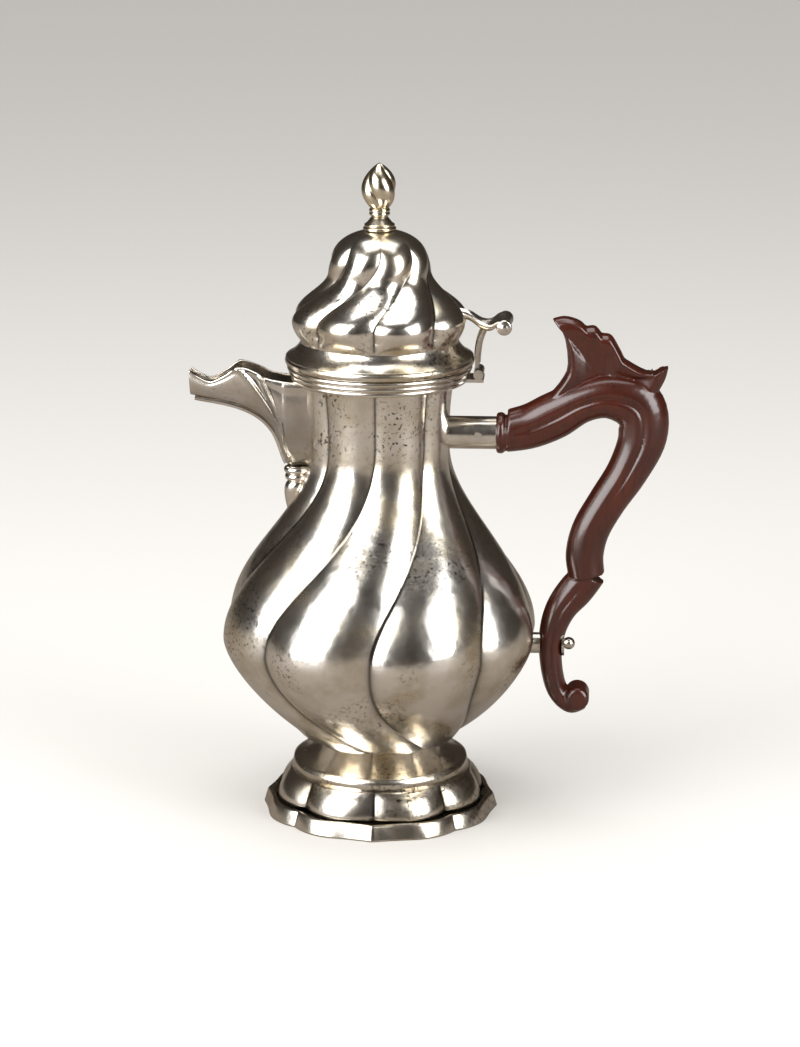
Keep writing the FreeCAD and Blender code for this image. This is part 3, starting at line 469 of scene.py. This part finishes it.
# Finial: the swirled bud on its beaded stem
# Warmer, slightly yellowed silver
# A spun bud outline twisted the other way from the lid, the stem and rings keep their solids
BUD_Z = 233.41
BUD_HEIGHT = 16.79
BUD_RADIUS = 6.75
BUD_FOOT_RADIUS = 3.5
BUD_WAIST = 0.42
finial_silver = silver("yellowed polished silver", "e6dcc6", "c2b290", 0.17, 0.5, 0.8)


def bud_radius(share):
    if share < BUD_WAIST:
        swell = math.sin(math.pi / 2 * share / BUD_WAIST) ** 0.8
        return BUD_FOOT_RADIUS + (BUD_RADIUS - BUD_FOOT_RADIUS) * swell
    return BUD_RADIUS * max(0.0, 1 - ((share - BUD_WAIST) / (1 - BUD_WAIST)) ** 2) ** 0.83


bm = bmesh.new()
bud = [(0, BUD_Z)] + [(bud_radius(i / 40), BUD_Z + BUD_HEIGHT * i / 40) for i in range(41)]
turned(bm, bud, 160, False)
swirl(bm, 3, lambda radius, z: 0.24 * radius, lambda z: 100 * (1 - (z - BUD_Z) / BUD_HEIGHT) - 60)
add_piece("bud", bm, "lid", finial_silver, ["finial_bud"])

# Small silver fittings: hinge, socket, rivet, collar, drop, rib, stud, rose and nut
# Plain polished silver that keeps the solids as they are
# Only the finish changes here
fitting_silver = silver("plain polished silver", "eeeae3", "cabfae", 0.16, 0.4, 0.0)
for name in ("spout_rib", "spout_collar", "spout_drop", "hinge_bracket", "hinge_pin", "handle_socket",
             "socket_rivet", "handle_seat", "handle_stud", "handle_washer", "handle_nut", "lid_bezel",
             "lid_strut"):
    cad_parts[name].data.materials.clear()
    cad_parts[name].data.materials.append(fitting_silver)
for name in ("finial_base", "finial_stem", "finial_bolt", "finial_nut"):
    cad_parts[name].data.materials.clear()
    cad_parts[name].data.materials.append(finial_silver)

# Thumbpiece: the fluted fan arm that ends in a rolled thumb rest
# The same plain polished silver as the fittings
# A fluted strip is extruded from the lid to the roll, and the waisted roll lies across its end
ROLL_X = 46.9
ROLL_Z = 190.3
fan_keys = [(29.6, 194.2, 2.4, 1.5), (33.8, 193.2, 2.9, 1.5), (38.2, 190.4, 4.6, 1.4),
            (41.6, 189.9, 6.6, 1.3), (44.4, 191.6, 8.4, 1.2), (47.0, 192.4, 9.6, 1.1)]


def fan_ring(x, z, half, thick):
    top = []
    for i in range(49):
        share = i / 24 - 1
        flute = 0.45 * abs(math.cos(share * math.pi * 2.5))
        top.append((x * MM, share * half * MM, (z + thick * 0.6 + flute) * MM))
    return top + [(x * MM, half * MM, (z - thick) * MM), (x * MM, -half * MM, (z - thick) * MM)]


bm = bmesh.new()
extruded_rings(bm, [fan_ring(*smooth_between(fan_keys, i / 30)) for i in range(31)])
roll_levels = [(-10.0, 1.2), (-9.6, 1.6), (-9.8, 2.4), (-9.2, 2.9), (-8.2, 2.9), (-6.0, 2.5), (0.0, 2.3),
               (6.0, 2.5), (8.2, 2.9), (9.2, 2.9), (9.8, 2.4), (9.6, 1.6), (10.0, 1.2)]
extruded_rings(bm, [[((ROLL_X + radius * math.cos(math.tau * i / 32)) * MM, y * MM,
                      (ROLL_Z + radius * math.sin(math.tau * i / 32)) * MM) for i in range(32)]
                    for y, radius in roll_levels])
add_piece("thumb_rest", bm, "lid", fitting_silver, ["thumbpiece"])

# Strap: the rounded face of the moving hinge leaf, from the knuckle up to the thumb rest
# Plain polished silver
# A rounded section is extruded up a shallow curve round the strap of the hinge leaf
strap_keys = [(36.9, 175.4, 1.0, 2.6), (36.8, 178.6, 1.3, 2.8), (37.4, 183.2, 1.35, 3.0),
              (38.6, 187.0, 1.5, 3.4), (40.0, 189.4, 1.6, 4.0)]


def strap_ring(x, z, thick, half):
    turns = [math.tau * i / 24 for i in range(24)]
    return [((x + thick * math.cos(turn)) * MM, half * math.sin(turn) * MM, z * MM) for turn in turns]


bm = bmesh.new()
extruded_rings(bm, [strap_ring(*smooth_between(strap_keys, i / 20)) for i in range(21)])
add_piece("strap", bm, "lid", fitting_silver, [])

# Handle: the carved hardwood S with its winged crest, lower scroll and turned ring
# Dark red-brown polished wood with fine grain
# Ovals with a carved side groove are extruded along the path, then remeshed into one carved piece
GRIP_X = 48.2
GRIP_Z = 148.2
SCROLL_X = 65.05
SCROLL_Z = 66.0


def wood(name):
    material = bpy.data.materials.new(name)
    material.use_nodes = True
    tree = material.node_tree
    tree.nodes.clear()
    place = add_node(tree, "ShaderNodeTexCoord").outputs["Object"]
    # Grain lines about 1 mm apart that run up the handle
    stretched = add_node(tree, "ShaderNodeMapping", None, {"Vector": place, "Scale": (1.0, 1.0, 0.16)})
    grain = add_node(tree, "ShaderNodeTexNoise", None,
                     {"Vector": stretched.outputs["Vector"], "Scale": 1 / (1.4 * MM), "Detail": 6.0,
                      "Distortion": 0.4})
    broad = add_node(tree, "ShaderNodeTexNoise", None,
                     {"Vector": place, "Scale": 1 / (22 * MM), "Detail": 3.0})
    base = add_node(tree, "ShaderNodeMix", {"data_type": "RGBA"},
                    {"Factor": broad.outputs["Fac"], 6: linear("1f0702"), 7: linear("431404")})
    lined = add_node(tree, "ShaderNodeMapRange", None,
                     {"Value": grain.outputs["Fac"], "From Min": 0.45, "From Max": 0.7, "To Max": 0.5})
    grained = add_node(tree, "ShaderNodeMix", {"data_type": "RGBA"},
                       {"Factor": lined.outputs["Result"], 6: base.outputs[2], 7: linear("180804")})
    bump = add_node(tree, "ShaderNodeBump", None,
                    {"Strength": 0.15, "Distance": 0.0002, "Height": grain.outputs["Fac"]})
    surface = add_node(tree, "ShaderNodeBsdfPrincipled", None,
                       {"Base Color": grained.outputs[2], "Roughness": 0.28, "IOR": 1.5, "Coat Weight": 0.5,
                        "Coat Roughness": 0.14, "Normal": bump.outputs["Normal"]})
    add_node(tree, "ShaderNodeOutputMaterial", None, {"Surface": surface.outputs["BSDF"]})
    return material


def oval(x, z, direction, thick, wide, carved):
    turn = math.radians(direction)
    ring = []
    for i in range(48):
        angle = math.tau * i / 48
        side = abs(abs((angle + math.pi) % math.tau - math.pi) - math.pi / 2)
        size = 1.03 - 1.1 * carved * math.exp(-(side / 0.12) ** 2)
        across = thick * size * math.cos(angle)
        ring.append(((x - math.sin(turn) * across) * MM, wide * size * math.sin(angle) * MM,
                     (z + math.cos(turn) * across) * MM))
    return ring


grip_keys = [(0.0, 0.9, 0, 7.9, 7.1, 0.0), (8.5, 2.8, 17, 8.3, 7.3, 0.10), (17.8, 7.1, 27, 8.7, 7.4, 0.14),
             (28.0, 12.6, 22, 7.8, 7.4, 0.16), (38.6, 14.8, -8, 8.4, 7.4, 0.16),
             (49.2, 10.6, -45, 9.8, 7.4, 0.16), (50.7, -0.9, -98, 8.9, 7.3, 0.16),
             (45.1, -14.4, -122, 7.6, 7.0, 0.12), (37.9, -25.9, -121, 7.0, 6.8, 0.06),
             (31.9, -36.9, -113, 7.0, 6.8, 0.03), (29.6, -46.7, -93, 7.0, 6.7, 0.03),
             (30.4, -55.0, -82, 6.7, 6.6, 0.06)]
scroll_keys = [(14.4, 27.2, -112, 6.2, 5.7, 0.0), (9.4, 21.0, -128, 6.6, 5.8, 0.10),
               (4.2, 14.0, -119, 5.8, 5.8, 0.14), (1.2, 6.0, -100, 5.0, 5.8, 0.16),
               (0.2, -3.0, -90, 4.3, 5.8, 0.16), (1.2, -12.6, -80, 4.0, 5.8, 0.14),
               (3.6, -19.4, -62, 3.9, 5.8, 0.08), (8.2, -23.4, -18, 4.0, 5.8, 0.0),
               (12.0, -22.6, 40, 3.4, 5.6, 0.0)]
crest_runs = [
    [(14.0, 13.0), (20.0, 20.6), (22.3, 27.0), (20.6, 38.6), (16.4, 44.0)],
    [(16.4, 44.0), (21.0, 45.0), (26.3, 43.5), (28.9, 41.2)],
    [(28.9, 41.2), (32.3, 41.4), (34.9, 38.6)],
    [(34.9, 38.6), (38.4, 38.0), (41.3, 33.5), (43.6, 29.0)],
    [(43.6, 29.0), (50.0, 25.3), (55.7, 23.8), (60.0, 26.5)],
    [(60.0, 26.5), (58.6, 21.0), (54.0, 14.0), (46.0, 9.0)],
    [(46.0, 9.0), (30.0, 8.0), (14.0, 13.0)],
]


def crest_ring(y, inset):
    ring = []
    for run in crest_runs:
        for i in range(10):
            dx, dz = smooth_between(run, i / 10)
            x = GRIP_X + dx + (36.0 - dx) * inset
            z = GRIP_Z + dz + (20.0 - dz) * inset
            ring.append((x * MM, y * MM, z * MM))
    return ring


handle_wood = wood("polished dark hardwood")
bm = bmesh.new()
grip_path = [smooth_between(grip_keys, i / 66) for i in range(67)]
extruded_rings(bm, [oval(GRIP_X + dx, GRIP_Z + dz, *rest) for dx, dz, *rest in grip_path])
scroll_path = [smooth_between(scroll_keys, i / 48) for i in range(49)]
extruded_rings(bm, [oval(SCROLL_X + dx, SCROLL_Z + dz, *rest) for dx, dz, *rest in scroll_path])
crest_half = [(2.0, 0.8), (2.9, 0.5), (4.4, 0.26), (4.9, 0.17), (4.4, 0.08), (2.6, 0.01)]
crest_levels = [(-y, inset) for y, inset in crest_half] + [(0.0, 0.0)] + list(reversed(crest_half))
extruded_rings(bm, [crest_ring(y, inset) for y, inset in crest_levels])
ball_levels = [(-6.9, 3.0), (-6.2, 4.2), (-5.0, 4.65), (5.0, 4.65), (6.2, 4.2), (6.9, 3.0)]
extruded_rings(bm, [[((SCROLL_X + 10.6 + radius * math.cos(math.tau * i / 40)) * MM, y * MM,
                      (SCROLL_Z - 20.7 + radius * math.sin(math.tau * i / 40)) * MM) for i in range(40)]
                    for y, radius in ball_levels])
turn_levels = [(44.0, 6.9), (44.3, 7.5), (45.2, 7.85), (46.0, 7.85), (46.9, 7.5), (47.2, 6.9), (47.6, 6.7),
               (49.0, 6.7)]
extruded_rings(bm, [[(x * MM, radius * math.cos(math.tau * i / 48) * MM,
                      (GRIP_Z + radius * math.sin(math.tau * i / 48)) * MM) for i in range(48)]
                    for x, radius in turn_levels])
handle = add_piece("handle", bm, "pot", handle_wood, ["handle_wood"])
carve = handle.modifiers.new("carved whole", "REMESH")
carve.mode = "VOXEL"
carve.voxel_size = 0.00045
carve.use_smooth_shade = True
soften = handle.modifiers.new("rubbed", "SMOOTH")
soften.factor = 0.5
soften.iterations = 3

# Stage: pale floor, soft studio light and the camera of the photograph
# Matt pale paper, two tall soft boxes and a top light
# The silver reflects a darker room and a darker floor than the camera sees
FLOOR_SIZE = 6.0
bm = bmesh.new()
bmesh.ops.create_grid(bm, x_segments=1, y_segments=1, size=FLOOR_SIZE)
floor_mesh = bpy.data.meshes.new("floor")
bm.to_mesh(floor_mesh)
bm.free()
floor = bpy.data.objects.new("floor", floor_mesh)
bpy.context.scene.collection.objects.link(floor)
paper = bpy.data.materials.new("matt pale paper")
paper.use_nodes = True
tree = paper.node_tree
tree.nodes.clear()
path = add_node(tree, "ShaderNodeLightPath")
sheet = add_node(tree, "ShaderNodeMix", {"data_type": "RGBA"},
                 {"Factor": path.outputs["Is Glossy Ray"], 6: linear("b2b0ad"), 7: linear("6a625a")})
matt = add_node(tree, "ShaderNodeBsdfPrincipled", None, {"Base Color": sheet.outputs[2], "Roughness": 0.8})
add_node(tree, "ShaderNodeOutputMaterial", None, {"Surface": matt.outputs["BSDF"]})
floor.data.materials.append(paper)
floor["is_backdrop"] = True


def soft_box(name, place, target, width, height, power):
    light = bpy.data.lights.new(name, "AREA")
    light.shape = "RECTANGLE"
    light.size = width
    light.size_y = height
    light.energy = power
    lamp = bpy.data.objects.new(name, light)
    lamp.location = place
    lamp.rotation_euler = (Vector(target) - Vector(place)).to_track_quat("-Z", "Y").to_euler()
    bpy.context.scene.collection.objects.link(lamp)
    lamp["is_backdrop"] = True


soft_box("left soft box", (-1.0, -0.85, 0.75), (0, 0, 0.12), 1.25, 1.5, 38)
soft_box("right soft box", (1.05, -0.7, 0.7), (0, 0, 0.12), 0.7, 1.2, 19)
soft_box("top soft box", (0.0, 0.1, 1.3), (0, 0, 0.1), 0.9, 0.8, 7)

world = bpy.data.worlds.new("studio")
bpy.context.scene.world = world
world.use_nodes = True
tree = world.node_tree
tree.nodes.clear()
path = add_node(tree, "ShaderNodeLightPath")
seen = add_node(tree, "ShaderNodeMix", {"data_type": "RGBA"},
                {"Factor": path.outputs["Is Camera Ray"], 6: linear("f0efed"), 7: linear("e4e2df")})
mirrored = add_node(tree, "ShaderNodeMix", {"data_type": "RGBA"},
                    {"Factor": path.outputs["Is Glossy Ray"], 6: seen.outputs[2], 7: linear("2c2621")})
sky = add_node(tree, "ShaderNodeBackground", None, {"Color": mirrored.outputs[2], "Strength": 1.4})
add_node(tree, "ShaderNodeOutputWorld", None, {"Surface": sky.outputs["Background"]})

CAMERA_PLACE = Vector((0.08859, -1.26691, 0.44795))
CAMERA_AIM = Vector((-0.0616789, 0.9647925, -0.2556778))
lens = bpy.data.cameras.new("camera")
lens.lens = 118.84
lens.sensor_width = 36.0
camera = bpy.data.objects.new("camera", lens)
camera.location = CAMERA_PLACE
camera.rotation_euler = CAMERA_AIM.to_track_quat("-Z", "Y").to_euler()
bpy.context.scene.collection.objects.link(camera)
bpy.context.scene.camera = camera
bpy.context.scene.view_settings.view_transform = "Standard"

low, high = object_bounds()
